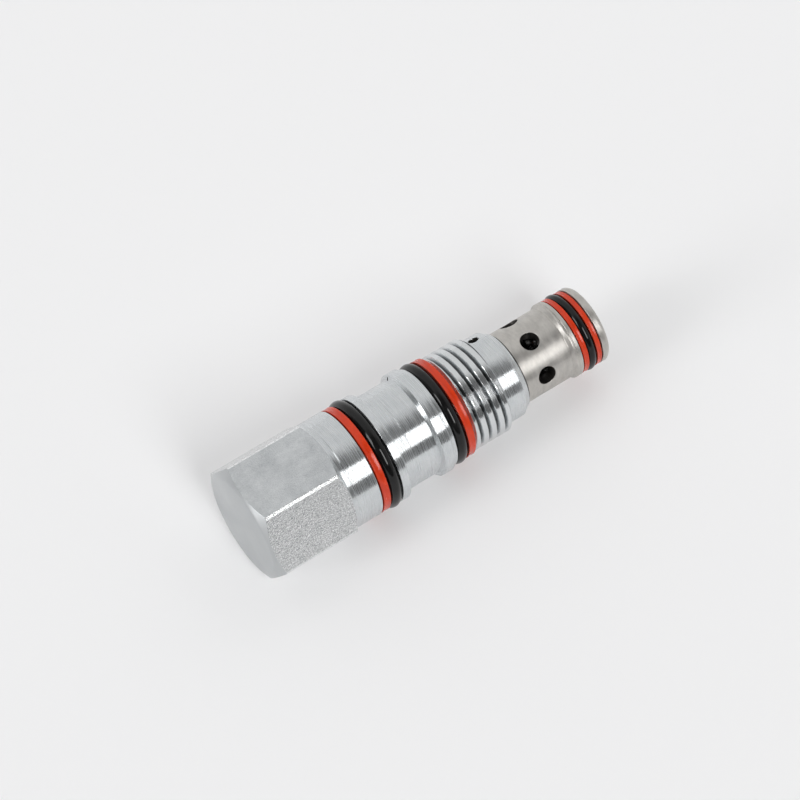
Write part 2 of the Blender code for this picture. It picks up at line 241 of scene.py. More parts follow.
def lathe(name, profile, solid=False, segments=SEGMENTS, sweep=(0.0, 360.0), sharp=28.0):
    """Turns a profile round the X axis. A radius may be a function of the angle in turns.

    A solid profile starts and ends on the axis. Any other profile is a closed loop.
    """
    data = bmesh.new()
    start, stop = (radians(a) for a in sweep)
    full = sweep[1] - sweep[0] >= 360.0
    columns = segments if full else max(2, round(segments * (stop - start) / (2 * pi)) + 1)
    rings = []
    for x, r in profile:
        if not callable(r) and r < 1e-6:
            rings.append([data.verts.new((x, 0, 0))] * columns)
            continue
        ring = []
        for c in range(columns):
            turn = c / segments if full else c / (columns - 1)
            angle = start + (2 * pi * turn if full else (stop - start) * turn)
            radius = r(angle / (2 * pi)) if callable(r) else r
            ring.append(data.verts.new((x, radius * cos(angle), radius * sin(angle))))
        rings.append(ring)
    pairs = list(zip(rings, rings[1:]))
    if not solid:
        pairs.append((rings[-1], rings[0]))
    for low, high in pairs:
        for c in range(columns if full else columns - 1):
            n = (c + 1) % columns
            corners = [low[c], low[n], high[n], high[c]]
            unique = list(dict.fromkeys(corners))
            if len(unique) > 2:
                data.faces.new(unique)
    if not full:
        data.faces.new([ring[0] for ring in rings])
        data.faces.new([ring[-1] for ring in reversed(rings)])
    return finish_mesh(name, data, sharp)


def ring_loop(data, count, point_at):
    """A closed ring of vertices, one for each equal step of angle."""
    return [data.verts.new(point_at(2 * pi * k / count)) for k in range(count)]


def bridged(data, rings, capped=True):
    """Skins a list of equal rings of vertices."""
    for low, high in zip(rings, rings[1:]):
        for k in range(len(low)):
            n = (k + 1) % len(low)
            data.faces.new((low[k], low[n], high[n], high[k]))
    if capped:
        data.faces.new(rings[0])
        data.faces.new(list(reversed(rings[-1])))


def radial_cutter(name, x, radius, angle, surface_r, inner_r, rim=HOLE_RIM, sides=48):
    """Cuts a cross hole whose rim follows the round surface, with a small even chamfer."""
    data = bmesh.new()
    out = Vector((0, cos(radians(angle)), sin(radians(angle))))
    side = Vector((1, 0, 0)).cross(out)

    def ring(hole_r, height=None, at_r=None):
        def point(a):
            along, across = hole_r * cos(a), hole_r * sin(a)
            rise = height if at_r is None else (at_r ** 2 - across ** 2) ** 0.5
            return Vector((x + along, 0, 0)) + side * across + out * rise
        return ring_loop(data, sides, point)

    bridged(data, [
        ring(radius + rim * 1.4, height=surface_r + 2),
        ring(radius + rim * 1.4, at_r=surface_r + rim * 0.4),
        ring(radius + rim * 0.35, at_r=surface_r - rim * 0.45),
        ring(radius, at_r=surface_r - rim * 1.2),
        ring(radius, height=inner_r),
    ])
    return finish_mesh(name, data)


def axial_cutter(name, span, radius, center_r, angle, sides=36):
    """Cuts a round hole along the X axis, off centre."""
    data = bmesh.new()
    y, z = center_r * cos(radians(angle)), center_r * sin(radians(angle))
    rings = []
    for x in span:
        rings.append(ring_loop(data, sides, lambda a: (x, y + radius * cos(a), z + radius * sin(a))))
    bridged(data, rings)
    return finish_mesh(name, data)


def flats_cutter(name, span, apothem, sides, start, outer_r, corner_flat=0.0):
    """A tube with a round outside and a polygonal inside. It leaves flats on what it cuts."""
    data = bmesh.new()
    inner = []
    for k in range(sides):
        corner = radians(start) + 2 * pi * k / sides
        along, across = Vector((cos(corner), sin(corner))), Vector((-sin(corner), cos(corner)))
        reach = apothem / cos(pi / sides) - corner_flat / 2 * tan(pi / sides)
        for side in (-1, 1) if corner_flat else (0,):
            inner.append(tuple(along * reach + across * side * corner_flat / 2))
    inner = [Vector(point) for point in held(inner, closed=True)]
    angles = [atan2(point.y, point.x) for point in inner]
    rings = []
    for x in span:
        rings.append([data.verts.new((x, p.x, p.y)) for p in inner])
        rings.append([data.verts.new((x, outer_r * cos(a), outer_r * sin(a))) for a in angles])
    inner_a, outer_a, inner_b, outer_b = rings
    for k in range(len(inner)):
        n = (k + 1) % len(inner)
        data.faces.new((inner_a[k], inner_a[n], inner_b[n], inner_b[k]))
        data.faces.new((outer_a[k], outer_b[k], outer_b[n], outer_a[n]))
        data.faces.new((inner_a[k], outer_a[k], outer_a[n], inner_a[n]))
        data.faces.new((inner_b[k], inner_b[n], outer_b[n], outer_b[k]))
    return finish_mesh(name, data)


def carve(thing, cutters, sharp=28.0):
    """Cuts the cutters out of a piece for good and removes them."""
    for cutter in cutters:
        step = thing.modifiers.new("cut", "BOOLEAN")
        step.operation = "DIFFERENCE"
        step.solver = "EXACT"
        step.object = cutter
    bpy.context.view_layer.update()
    depsgraph = bpy.context.evaluated_depsgraph_get()
    mesh = bpy.data.meshes.new_from_object(thing.evaluated_get(depsgraph), depsgraph=depsgraph)
    thing.modifiers.clear()
    thing.data = mesh
    for cutter in cutters:
        bpy.data.objects.remove(cutter, do_unlink=True)
    smooth(thing, sharp)


# ---------------------------------------------------------------- material tools

class NodeTree:
    """Short calls for making and linking the nodes of self.tree."""

    def node(self, kind, **settings):
        made = self.tree.nodes.new(kind)
        for key, value in settings.items():
            setattr(made, key, value)
        return made

    def link(self, source, target):
        self.tree.links.new(source, target)

    def math(self, operation, a, b=0.0):
        made = self.node("ShaderNodeMath", operation=operation)
        for socket, value in zip(made.inputs, (a, b)):
            if isinstance(value, (int, float)):
                socket.default_value = value
            else:
                self.link(value, socket)
        return made.outputs["Value"]


class Look(NodeTree):
    """A Principled material with short calls for the nodes that drive it."""

    def __init__(self, name, color, roughness, metallic=0.0, **constants):
        self.material = bpy.data.materials.new(name)
        self.material.use_nodes = True
        self.material.diffuse_color = (*color, 1.0)
        self.tree = self.material.node_tree
        self.shader = self.tree.nodes["Principled BSDF"]
        self.set("Base Color", (*color, 1.0))
        self.set("Roughness", roughness)
        self.set("Metallic", metallic)
        for socket, value in constants.items():
            self.set(socket.replace("_", " "), value)
        self.coords = self.node("ShaderNodeTexCoord").outputs["Object"]

    def set(self, socket, value):
        self.shader.inputs[socket].default_value = value

    def drive(self, socket, source):
        self.link(source, self.shader.inputs[socket])

    def stretched(self, per_mm):
        """Object coordinates scaled to so many units a millimetre along X, Y and Z."""
        made = self.node("ShaderNodeMapping")
        made.inputs["Scale"].default_value = [value / MM for value in per_mm]
        self.link(self.coords, made.inputs["Vector"])
        return made.outputs["Vector"]

    def noise(self, per_mm, detail=2.0, rough=0.5, distortion=0.0):
        made = self.node("ShaderNodeTexNoise")
        made.inputs["Scale"].default_value = 1.0
        made.inputs["Detail"].default_value = detail
        made.inputs["Roughness"].default_value = rough
        made.inputs["Distortion"].default_value = distortion
        self.link(self.stretched(per_mm), made.inputs["Vector"])
        return made.outputs["Fac"]

    def spread(self, source, low, high, from_low=0.0, from_high=1.0):
        made = self.node("ShaderNodeMapRange")
        made.inputs["From Min"].default_value = from_low
        made.inputs["From Max"].default_value = from_high
        made.inputs["To Min"].default_value = low
        made.inputs["To Max"].default_value = high
        self.link(source, made.inputs["Value"])
        return made.outputs["Result"]

    def ramp(self, source, stops):
        made = self.node("ShaderNodeValToRGB")
        elements = made.color_ramp.elements
        while len(elements) < len(stops):
            elements.new(0.5)
        for element, (place, color) in zip(elements, stops):
            element.position = place
            element.color = (*color, 1.0)
        self.link(source, made.inputs["Fac"])
        return made.outputs["Color"]

    def axis_distance(self):
        """Distance from the cartridge's axis, in millimetres."""
        split = self.node("ShaderNodeSeparateXYZ")
        self.link(self.coords, split.inputs["Vector"])
        y, z = split.outputs["Y"], split.outputs["Z"]
        squares = self.math("ADD", self.math("MULTIPLY", y, y), self.math("MULTIPLY", z, z))
        return self.math("MULTIPLY", self.math("SQRT", squares), 1 / MM)

    def lines(self, source, per_unit, detail=2.0):
        """One-dimensional noise along a value."""
        made = self.node("ShaderNodeTexNoise", noise_dimensions="1D")
        made.inputs["Scale"].default_value = per_unit
        made.inputs["Detail"].default_value = detail
        self.link(source, made.inputs["W"])
        return made.outputs["Fac"]

    def lathe_grain(self, amount):
        """Reflections drawn out across the turning marks, which run round the X axis."""
        tangent = self.node("ShaderNodeTangent", direction_type="RADIAL", axis="X")
        self.drive("Tangent", tangent.outputs["Tangent"])
        self.set("Anisotropic", amount)
        self.set("Anisotropic Rotation", 0.25)

    def bump(self, layers, edge=0.0):
        """Bumps, each (height source, depth in millimetres), over edges rounded by edge."""
        normal = None
        if edge:
            bevel = self.node("ShaderNodeBevel", samples=6)
            bevel.inputs["Radius"].default_value = edge * MM
            normal = bevel.outputs["Normal"]
        for source, depth in layers:
            made = self.node("ShaderNodeBump")
            made.inputs["Distance"].default_value = depth * MM
            self.link(source, made.inputs["Height"])
            if normal:
                self.link(normal, made.inputs["Normal"])
            normal = made.outputs["Normal"]
        if normal:
            self.drive("Normal", normal)


# ---------------------------------------------------------------- materials

def zinc_turned():
    """Bright zinc over fine turning marks that run round the axis."""
    look = Look("zinc_turned", (0.66, 0.68, 0.695), 0.26, 1.0)
    marks = look.noise((4.2, 0.05, 0.05), detail=2.0, rough=0.7)
    scratches = look.noise((7.0, 0.12, 0.12), detail=1.5)
    wobble = look.noise((0.5, 0.35, 0.35), detail=2.0)
    stain = look.noise((0.3, 0.4, 0.4), detail=4.0, rough=0.6)
    look.drive("Base Color", look.ramp(stain, [(0.3, (0.62, 0.645, 0.66)), (0.7, (0.69, 0.71, 0.72))]))
    look.drive("Roughness", look.spread(scratches, 0.19, 0.35, 0.3, 0.7))
    look.bump([(marks, 0.022), (scratches, 0.008), (wobble, 0.015)], edge=0.05)
    look.lathe_grain(1.0)
    return look.material


def zinc_thread():
    """The same plate on the thread, its colour darkened towards the bottom of its groove as painted shade."""
    look = Look("zinc_thread", (0.66, 0.68, 0.695), 0.18, 1.0)
    marks = look.noise((5.0, 0.2, 0.2), detail=2.0)
    height = look.spread(look.axis_distance(), 0.0, 1.0, THREAD_ROOT_R, THREAD_CREST_R)
    # Painted shade: the colour falls from crest to root, standing in for the shade deep in the groove.
    look.drive("Base Color", look.ramp(height, [
        (0.0, (0.20, 0.205, 0.21)), (0.35, (0.48, 0.495, 0.505)),
        (0.7, (0.66, 0.68, 0.69)), (1.0, (0.69, 0.71, 0.72)),
    ]))
    look.drive("Roughness", look.spread(marks, 0.15, 0.23, 0.3, 0.7))
    look.bump([(marks, 0.004)], edge=0.03)
    look.lathe_grain(0.8)
    return look.material


def zinc_drawn():
    """The hex flats: plate over the grainy skin of drawn bar, its glitter painted into the colour."""
    look = Look("zinc_drawn", (0.60, 0.615, 0.62), 0.20, 1.0)
    grain = look.noise((4.2, 4.2, 4.2), detail=2.0, rough=0.7)
    # Painted glints: the brightest specks of this ramp stand in for the glitter of the flats.
    look.drive("Base Color", look.ramp(grain, [
        (0.34, (0.46, 0.47, 0.48)), (0.46, (0.69, 0.705, 0.71)),
        (0.54, (0.79, 0.80, 0.805)), (0.62, (0.97, 0.97, 0.97)),
    ]))
    look.drive("Roughness", look.spread(grain, 0.26, 0.14, 0.3, 0.7))
    look.bump([(grain, 0.05)], edge=0.12)
    return look.material


def zinc_edge():
    """The hex edges, painted brighter than the flats as a painted highlight along them."""
    # Painted highlight: the bright base colour and ramp stand in for the light caught along the hex edges.
    look = Look("zinc_edge", (0.74, 0.75, 0.755), 0.26, 1.0)
    grain = look.noise((2.6, 1.2, 1.2), detail=3.0, rough=0.65)
    look.drive("Base Color", look.ramp(grain, [(0.35, (0.70, 0.715, 0.72)), (0.6, (0.92, 0.93, 0.93))]))
    look.bump([(grain, 0.12)], edge=0.2)
    look.lathe_grain(1.0)
    return look.material


def zinc_marked():
    """The top flat, rubbed smoother than the others, with a paler patch."""
    look = Look("zinc_marked", (0.66, 0.68, 0.69), 0.34, 1.0)
    grain = look.noise((4.5, 4.5, 4.5), detail=2.0, rough=0.6)
    speckle = look.noise((0.16, 0.2, 0.2), detail=6.0, rough=0.76)
    fine = look.noise((3.6, 3.6, 3.6), detail=2.0, rough=0.7)
    tone = look.math("ADD", look.math("MULTIPLY", speckle, 0.7), look.math("MULTIPLY", fine, 0.3))
    look.drive("Base Color", look.ramp(tone, [(0.36, (0.50, 0.52, 0.535)), (0.64, (0.74, 0.76, 0.77))]))
    look.drive("Roughness", look.spread(speckle, 0.26, 0.40, 0.3, 0.7))
    look.bump([(grain, 0.09)], edge=0.12)
    return look.material


def zinc_faced():
    """The end face, with rings left by the facing tool."""
    look = Look("zinc_faced", (0.51, 0.525, 0.535), 0.36, 1.0)
    rings = look.lines(look.axis_distance(), 3.2, detail=3.0)
    cloud = look.noise((0.15, 0.15, 0.15), detail=3.0)
    look.drive("Base Color", look.ramp(cloud, [(0.3, (0.485, 0.50, 0.51)), (0.7, (0.53, 0.545, 0.55))]))
    look.bump([(rings, 0.012)], edge=0.12)
    look.lathe_grain(0.5)
    return look.material


def bore_shade():
    """Oiled steel inside the bores and cross holes, its colour painted near black as painted shade."""
    look = Look("bore_shade", (0.045, 0.042, 0.04), 0.35, 0.6)
    marks = look.noise((3.0, 0.4, 0.4), detail=3.0, rough=0.6)
    # Painted shade: these near-black colours stand in for the shade inside the holes.
    look.drive("Base Color", look.ramp(marks, [(0.3, (0.03, 0.028, 0.026)), (0.7, (0.065, 0.06, 0.056))]))
    look.bump([(marks, 0.02)])
    return look.material


def ground_steel(name, color, roughness, marks_depth=0.01, grain=0.8):
    """Bare steel, ground round the axis, a little warm and mottled."""
    look = Look(name, color, roughness, 1.0)
    marks = look.noise((4.0, 0.25, 0.25), detail=3.0, rough=0.6)
    mottle = look.noise((0.9, 0.35, 0.35), detail=5.0, rough=0.65)
    dark = tuple(value * 0.84 for value in color)
    light = tuple(value * 1.12 for value in color)
    look.drive("Base Color", look.ramp(mottle, [(0.32, dark), (0.68, light)]))
    look.drive("Roughness", look.spread(mottle, roughness - 0.05, roughness + 0.05, 0.3, 0.7))
    look.bump([(marks, marks_depth)], edge=0.05)
    look.lathe_grain(grain)
    return look.material


def red_plastic():
    """Glossy orange-red backup ring."""
    look = Look("red_plastic", (0.62, 0.040, 0.008), 0.22, Specular_IOR_Level=0.36)
    shade = look.noise((0.8, 0.35, 0.35), detail=3.0)
    fine = look.noise((5.0, 0.6, 0.6), detail=2.0)
    look.drive("Base Color", look.ramp(shade, [(0.3, (0.57, 0.034, 0.006)), (0.7, (0.67, 0.048, 0.010))]))
    look.drive("Roughness", look.spread(shade, 0.16, 0.28, 0.3, 0.7))
    look.bump([(fine, 0.006)])
    return look.material


def black_rubber():
    """Oiled nitrile."""
    look = Look("black_rubber", (0.006, 0.006, 0.006), 0.09, Specular_IOR_Level=0.29)
    smear = look.noise((0.6, 0.6, 0.6), detail=4.0, rough=0.6)
    fine = look.noise((4.0, 4.0, 4.0), detail=2.0)
    look.drive("Base Color", look.ramp(smear, [(0.3, (0.004, 0.004, 0.004)), (0.75, (0.010, 0.010, 0.010))]))
    look.drive("Roughness", look.spread(smear, 0.05, 0.13, 0.3, 0.7))
    look.bump([(fine, 0.002)])
    return look.material


def white_ptfe():
    """Matt white glide ring."""
    look = Look("white_ptfe", (0.74, 0.73, 0.69), 0.45)
    shade = look.noise((1.0, 1.0, 1.0), detail=3.0)
    look.drive("Base Color", look.ramp(shade, [(0.3, (0.68, 0.67, 0.63)), (0.7, (0.80, 0.79, 0.76))]))
    look.bump([(shade, 0.01)])
    return look.material


# ---------------------------------------------------------------- pieces

def node_mm(node):
    """A CAD node's x span and outer radius, in millimetres."""
    low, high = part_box(node)
    return low.x / MM, high.x / MM, max(high.y, -low.y) / MM


def stand_for(piece, node, look=None):
    """The piece takes the place of a CAD node, on the same body."""
    if look:
        piece.data.materials.clear()
        piece.data.materials.append(look)
    body = frame["nodes"][node]["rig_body"]
    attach(piece, body)
    tag(node)


def tag(node):
    """Hides the CAD node."""
    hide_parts(node)


def thread_radius(x):
    """Radius of the right-handed thread at x, as a function of the angle in turns."""
    root_x, root_angle = THREAD_ROOT_AT
    limit = THREAD_CREST_R - max(0.0, THREAD[0] + 0.3 - x) - max(0.0, x - THREAD[1] + 0.35) * 1.6

    def radius(turn):
        from_root = (x - root_x) / THREAD_PITCH - (turn - root_angle / 360)
        from_root = abs(from_root - round(from_root)) * THREAD_PITCH
        depth = min(1.0, max(0.0, 1.15 - from_root / THREAD_GROOVE))
        depth = depth * depth * (3 - 2 * depth) * 0.4 + depth * 0.6
        return max(THREAD_ROOT_R, min(limit, THREAD_CREST_R - (THREAD_CREST_R - THREAD_ROOT_R) * depth))
    return radius


def body_profile():
    """The valve body's outline, from the hex end along the outside and back up the bore."""
    corner_r = HEX_AF / 2 / cos(pi / 6)
    front_x = (corner_r - HEX_FACE_R) * tan(HEX_CHAMFER)
    back_x = HEX_BACK_X - (corner_r - LAND_R) * tan(HEX_BACK_CHAMFER)
    head = [(0, 0), (0, HEX_FACE_R, 0.5), (front_x, corner_r), (back_x, corner_r), (HEX_BACK_X, LAND_R, 0.15)]
    line_start, line_end, line_depth = LAND_LINE
    land_line = [
        (line_start, LAND_R), (line_start + 0.1, LAND_R - line_depth),
        (line_end - 0.1, LAND_R - line_depth), (line_end, LAND_R),
    ]
    head_gland = [
        (HEAD_GLAND[0], LAND_R, 0.12), (HEAD_GLAND[0], HEAD_GLAND_ROOT_R, 0.2),
        (HEAD_GLAND[1], HEAD_GLAND_ROOT_R, 0.2), (HEAD_GLAND[1], LAND_R, 0.15),
    ]
    neck = [
        (HEAD_LAND_END_X - 0.06, LAND_R, 0.1), (HEAD_LAND_END_X, NECK_START_R, 0.1),
        (NECK_LINE_X - 0.09, NECK_R + 0.02), (NECK_LINE_X, NECK_R - 0.05), (NECK_LINE_X + 0.09, NECK_R),
        (NECK_END_X, NECK_R, 0.1),
    ]
    shoulder = [
        (SHOULDER[0], SHOULDER_R, 0.1), (SHOULDER[1], SHOULDER_R, 0.08), (SHOULDER[1], SHOULDER_SEAT_R),
        (SHOULDER[1] + 0.04, MIDDLE_LAND_R + 0.02, 0.25), (SHOULDER[1] + 0.5, MIDDLE_LAND_R),
    ]
    middle_gland = [
        (MIDDLE_GLAND[0], MIDDLE_LAND_R, 0.12), (MIDDLE_GLAND[0], MIDDLE_GLAND_ROOT_R, 0.2),
        (MIDDLE_GLAND[1], MIDDLE_GLAND_ROOT_R, 0.2), (MIDDLE_GLAND[1], THREAD_ROOT_R + 0.45, 0.1),
    ]
    rings = round((THREAD[1] - THREAD[0]) / THREAD_PITCH * THREAD_RINGS_PER_PITCH)
    thread = []
    for k in range(rings + 1):
        x = THREAD[0] + (THREAD[1] - THREAD[0]) * k / rings
        thread.append((x, thread_radius(x)))
    collar = [
        (COLLAR[0], COLLAR_R, 0.05), (COLLAR[1], COLLAR_R, 0.05), (COLLAR[1] + 0.06, COLLAR_R - COLLAR_STEP),
        (COLLAR[1] + 0.2, COLLAR_R - COLLAR_STEP), (BODY_END_X - 0.4, BODY_END_R + 0.1, 0.15),
        (BODY_END_X, BODY_END_R - 0.1, 0.1),
    ]
    inside = [
        (BODY_END_X, MOUTH_R, 0.1), (RING_GROOVE[1], MOUTH_R), (RING_GROOVE[1], RING_GROOVE_R),
        (RING_GROOVE[0], RING_GROOVE_R), (RING_GROOVE[0], COUNTERBORE[1]), COUNTERBORE,
        (COUNTERBORE[0], CHAMBER_R), (PISTON_BORE[1], CHAMBER_R), (PISTON_BORE[1] - 0.4, PISTON_BORE_R),
        (PISTON_BORE[0], PISTON_BORE_R), (PISTON_BORE[0] - 0.9, 0),
    ]
    outer = rounded(head + land_line + head_gland + neck + shoulder + middle_gland, closed=False)
    return outer + thread + rounded(collar + inside, closed=False)


def paint(piece, looks, choose):
    """Gives each face one of the looks. choose takes x, radius, outwardness and the normal."""
    piece.data.materials.clear()
    for look in looks:
        piece.data.materials.append(look)
    for face in piece.data.polygons:
        across = Vector((face.center.y, face.center.z))
        facing = Vector((face.normal.y, face.normal.z)).dot(across.normalized())
        face.material_index = choose(face.center.x / MM, across.length / MM, facing, face.normal)


def body_look(x, radius, facing, normal):
    """Which of the body's looks a face wears."""
    turned, thread, drawn, marked, edge, faced, bore = range(7)
    in_cross_hole = abs(facing) < 0.3 and abs(normal.x) < 0.95 and x > 33 and radius < COLLAR_R - 0.2
    in_pit = abs(facing) < 0.3 and abs(x - PIT[0]) < 2 * PIT[1]
    # Faces inside the bore, the cross holes and the pit wear the near-black painted shade.
    if facing < -0.3 or in_cross_hole or in_pit:
        return bore
    if THREAD[0] - 0.3 < x < THREAD[1]:
        return thread
    if x > HEX_BACK_X - 0.05:
        return turned
    if normal.x < -0.4:
        return faced
    if normal.x > 0.4 or facing < 0.5:
        return turned
    off_flat = abs((degrees(atan2(normal.z, normal.y)) + 60) % 60 - 30)
    if off_flat > 4:
        return edge
    return marked if normal.z > 0.95 else drawn


def sleeve_look(x, radius, facing, normal):
    """Which of the sleeve's looks a face wears."""
    outside, bore = range(2)
    # Faces inside the bore and the flow holes wear the near-black painted shade.
    in_cross_hole = abs(facing) < 0.5 and abs(x - FLOW_HOLE[0]) < 2.0
    in_bore = facing < -0.3 and x < SNAP_GROOVE_END_X
    # A narrow groove on the sleeve beside the body's end, painted near black with the bore's colour.
    in_dark_line = SLEEVE_DARK_LINE[0] < x < SLEEVE_DARK_LINE[1] and radius < SLEEVE_R - 0.01
    return bore if in_cross_hole or in_bore or in_dark_line else outside


def make_valve_body():
    body = lathe("valve_body_visual", body_profile(), solid=True)
    hole_x, hole_r, angle = PILOT_HOLE
    vent_x, vent_r, vent_angle = VENT_HOLE
    pit_x, pit_r, pit_angle = PIT
    carve(body, [
        flats_cutter("hex", (-1.0, HEX_BACK_X + 0.6), HEX_AF / 2, 6, 0, 16.0, HEX_CORNER_FLAT),
        radial_cutter("pilot", hole_x, hole_r, angle, NECK_R, 4.0),
        radial_cutter("vent_a", vent_x, vent_r, vent_angle, COLLAR_R, 5.0, rim=0.08),
        radial_cutter("vent_b", vent_x, vent_r, vent_angle + 180, COLLAR_R, 5.0, rim=0.08),
        radial_cutter("pit", pit_x, pit_r, pit_angle, SHOULDER_R, NECK_R - 1.2, rim=0.0, sides=16),
    ])
    paint(body, [
        zinc_turned(), zinc_thread(), zinc_drawn(), zinc_marked(), zinc_edge(), zinc_faced(), bore_shade(),
    ], body_look)
    stand_for(body, "valve_body")


def make_sleeve(look):
    start_x, end_x, _ = node_mm("sleeve")
    line_start, line_end, line_depth = SLEEVE_DARK_LINE
    outside = [
        (start_x, SLEEVE_HEAD[1], 0.1), (SLEEVE_HEAD[0], SLEEVE_HEAD[1]), (SLEEVE_HEAD[0], SLEEVE_R),
        (line_start, SLEEVE_R), (line_start + 0.04, SLEEVE_R - line_depth),
        (line_end - 0.04, SLEEVE_R - line_depth), (line_end, SLEEVE_R),
        (SLEEVE_FILLET[0] - 0.35, SLEEVE_R, 0.1), (SLEEVE_FILLET[0] - 0.2, SLEEVE_R - 0.09, 0.1),
        (SLEEVE_FILLET[0], SLEEVE_R - 0.02, 0.1), (SLEEVE_FILLET[1], NOSE_R, 0.1),
        (NOSE_LINE_X - 0.12, NOSE_R), (NOSE_LINE_X, NOSE_R - 0.12), (NOSE_LINE_X + 0.12, NOSE_R - 0.01),
        (NOSE_GLAND[0], NOSE_R, 0.1),
        (NOSE_GLAND[0], NOSE_GLAND_ROOT_R, 0.15), (NOSE_GLAND[1], NOSE_GLAND_ROOT_R, 0.15),
        (NOSE_GLAND[1], NOSE_R, 0.1), (NOSE_CHAMFER_X, NOSE_R, 0.25), (end_x, NOSE_END_R, 0.12),
    ]
    inside = [
        (end_x, NOSE_MOUTH_R, 0.1), (SNAP_GROOVE_END_X + 0.4, SEAT_POCKET_R),
        (SNAP_GROOVE_END_X, SEAT_POCKET_R), (SNAP_GROOVE_END_X, SNAP_GROOVE_R),
        (SEAT_POCKET[1], SNAP_GROOVE_R), (SEAT_POCKET[1], SEAT_POCKET_R),
        (SEAT_POCKET[0], SEAT_POCKET_R), (SEAT_POCKET[0], SLEEVE_BORE_R), (start_x, SLEEVE_BORE_R),
    ]
    sleeve = lathe("sleeve_visual", rounded(outside + inside))
    x, radius, angle = FLOW_HOLE
    carve(sleeve, [
        radial_cutter(f"flow_{k}", x, radius, angle + 60 * k, SLEEVE_R, 3.0) for k in range(6)
    ])
    paint(sleeve, [look, bore_shade()], sleeve_look)
    stand_for(sleeve, "sleeve")


def make_o_ring(node, look, flash=True):
    """A round-section ring, with the faint moulding line of a real one."""
    low, high, outer = node_mm(node)
    section = (high - low) / 2
    middle, centre = (low + high) / 2, outer - section
    profile = []
    for k in range(32):
        a = 2 * pi * k / 32
        proud = 0.012 if flash and k in (8, 24) else 0.0
        profile.append((middle + (section + proud) * cos(a), centre + (section - 0.012 + proud) * sin(a)))
    stand_for(lathe(f"{node}_visual", profile, sharp=60.0), node, look)


def make_backup_ring(node, root_r, cup_side, look):
    """A ring with a flat side and a hollow side. cup_side is +1 where the hollow faces +X."""
    low, high, outer = node_mm(node)
    flat_x = low if cup_side > 0 else high
    lip_x = high if cup_side > 0 else low
    depth = 0.24 * cup_side
    inner = root_r + 0.06
    middle = (inner + outer) / 2
    profile = rounded([
        (flat_x, inner, 0.1), (lip_x - depth * 0.4, inner, 0.05), (lip_x - depth, middle, 0.5),
        (lip_x, outer - 0.03, 0.08), (lip_x - 0.12 * cup_side, outer, 0.06),
        ((low + high) / 2, outer - RING_HOLLOW, 0.3), (flat_x, outer, 0.12),
    ])
    stand_for(lathe(f"{node}_visual", profile), node, look)


def make_seals(red, black):
    for node in ("head_o_ring", "middle_o_ring", "nose_o_ring", "piston_o_ring"):
        make_o_ring(node, black)
    make_backup_ring("head_backup_ring", HEAD_GLAND_ROOT_R, 1, red)
    make_backup_ring("middle_backup_ring", MIDDLE_GLAND_ROOT_R, -1, red)
    make_backup_ring("nose_backup_ring_inner", NOSE_GLAND_ROOT_R, 1, red)
    make_backup_ring("nose_backup_ring_outer", NOSE_GLAND_ROOT_R, -1, red)


def make_simple_ring(node, inner_r, look, edge=0.1, sweep=(0.0, 360.0)):
    low, high, outer = node_mm(node)
    profile = rounded([(low, inner_r, edge), (high, inner_r, edge), (high, outer, edge), (low, outer, edge)])
    stand_for(lathe(f"{node}_visual", profile, sweep=sweep), node, look)


def make_split_rings(look):
    """The wire ring under the collar and the snap ring in the nose, each with its gap."""
    make_simple_ring("sleeve_retaining_ring", SLEEVE_R + 0.1, look, 0.12, (100.0, 440.0))
    make_simple_ring("nose_snap_ring", SEAT_POCKET_R - SNAP_RING_DEPTH, look, 0.08, (20.0, 340.0))


def make_piston(look):
    low, high, outer = node_mm("pilot_piston")
    socket_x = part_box("pilot_stem")[0].x / MM - 0.05
    piston = lathe("pilot_piston_visual", rounded([
        (low, 0), (low, outer - 0.5, 0.05), (low + 0.4, outer, 0.15), (PISTON_GROOVE[0], outer, 0.1),
        (PISTON_GROOVE[0], PISTON_GROOVE_ROOT_R, 0.1), (PISTON_GROOVE[1], PISTON_GROOVE_ROOT_R, 0.1),
        (PISTON_GROOVE[1], outer, 0.1), (high - 0.4, outer, 0.1), (high, outer - 0.4, 0.1),
        (high, STEM_R + 0.05), (socket_x, STEM_R + 0.05), (socket_x, 0),
    ], closed=False), solid=True)
    stand_for(piston, "pilot_piston", look)
    low, high, outer = node_mm("pilot_stem")
    stem = lathe("pilot_stem_visual", rounded([
        (low, 0), (low, outer, 0.2), (high - 0.3, outer, 0.1), (high, outer - 0.3, 0.1), (high, 0),
    ], closed=False), solid=True, segments=64)
    stand_for(stem, "pilot_stem", look)


def make_check_seat(look):
    low, high, outer = node_mm("check_seat")
    seat = lathe("check_seat_visual", rounded([
        (low, SEAT_R + 0.4, 0.1), (low + 0.7, SEAT_R, 0.2), (high, SEAT_R, 0.04),
        (high, outer, 0.1), (low, outer, 0.1),
    ]))
    stand_for(seat, "check_seat", look)


def make_poppet(look):
    low, high, _ = node_mm("check_poppet")
    outer = SEAT_POCKET_R - 0.08
    cone_end = low + POPPET_CONE
    pocket_x = high - POPPET_POCKET_DEPTH
    poppet = lathe("check_poppet_visual", rounded([
        (low, 0), (low, POPPET_TIP_R, 0.15), (cone_end, POPPET_TIP_R + POPPET_CONE, 0.1),
        (cone_end + 0.2, outer, 0.1),
        (high - 0.2, outer, 0.1), (high, outer - 0.2, 0.1), (high, POPPET_POCKET_R, 0.15),
        (pocket_x, POPPET_POCKET_R, 0.2), (pocket_x, 0),
    ], closed=False), solid=True)
    carve(poppet, [flats_cutter("flats", (cone_end - 0.6, high + 1.0), POPPET_FLAT_R, 3, 36.5, 12.0)])
    stand_for(poppet, "check_poppet", look)


